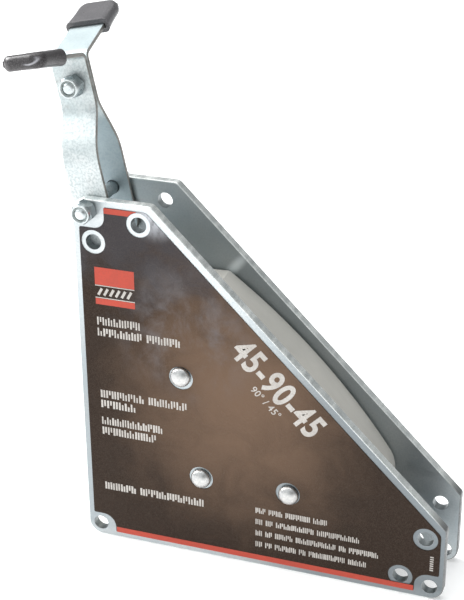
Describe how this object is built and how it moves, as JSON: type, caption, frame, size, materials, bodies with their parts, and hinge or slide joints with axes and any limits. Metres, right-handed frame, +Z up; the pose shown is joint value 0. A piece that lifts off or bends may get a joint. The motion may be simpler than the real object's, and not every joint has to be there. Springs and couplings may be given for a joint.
{
  "type": "welding magnet holder",
  "caption": "Magnetic welding square: steel side plates riveted to a magnet housing with right-angle and 45 degree edges, and a T-handled release lever on a corner pivot.",
  "frame": {"origin": "bottom centre of the bounding box, with the lever at rest", "axes": "+X along the base edge, away from the release lever; +Z up the upright working edge; +Y from the labelled front plate to the rear plate"},
  "size_m": [0.1658, 0.0733, 0.2132],
  "materials": {
    "zinc_plate": "zinc plated, satin",
    "printed_foil": "glossy printed foil, dark brown with off-white print and red bands",
    "housing_plastic": "satin, warm light grey",
    "ferrite": "dull, dark grey",
    "rivet_steel": "bright",
    "fastener_zinc": "zinc plated, bright",
    "nylon_insert": "dark, satin",
    "black_vinyl": "black, satin"
  },
  "bodies": {
    "root": {"front_plate": "zinc_plate", "rear_plate": "zinc_plate", "front_label": "printed_foil", "magnet_housing": "housing_plastic", "magnet_upper_front": "ferrite", "magnet_upper_rear": "ferrite", "magnet_corner_front": "ferrite", "magnet_corner_rear": "ferrite", "magnet_lower_front": "ferrite", "magnet_lower_rear": "ferrite", "rivet_upper": "rivet_steel", "rivet_corner": "rivet_steel", "rivet_lower": "rivet_steel", "pivot_bolt": "fastener_zinc", "pivot_nut": "fastener_zinc", "pivot_nut_insert": "nylon_insert"},
    "lever": {"front_strap": "zinc_plate", "rear_strap": "zinc_plate", "front_grip_cap": "black_vinyl", "rear_grip_cap": "black_vinyl", "grip_bolt": "fastener_zinc", "grip_nut": "fastener_zinc", "grip_nut_insert": "nylon_insert"}
  },
  "joints": [
    {"name": "lever_pivot", "type": "hinge", "parent": "root", "child": "lever", "pos_m": [-0.06125, 0, 0.1458], "axis": [0, 1, 0], "range_deg": [-75, 105]}
  ]
}
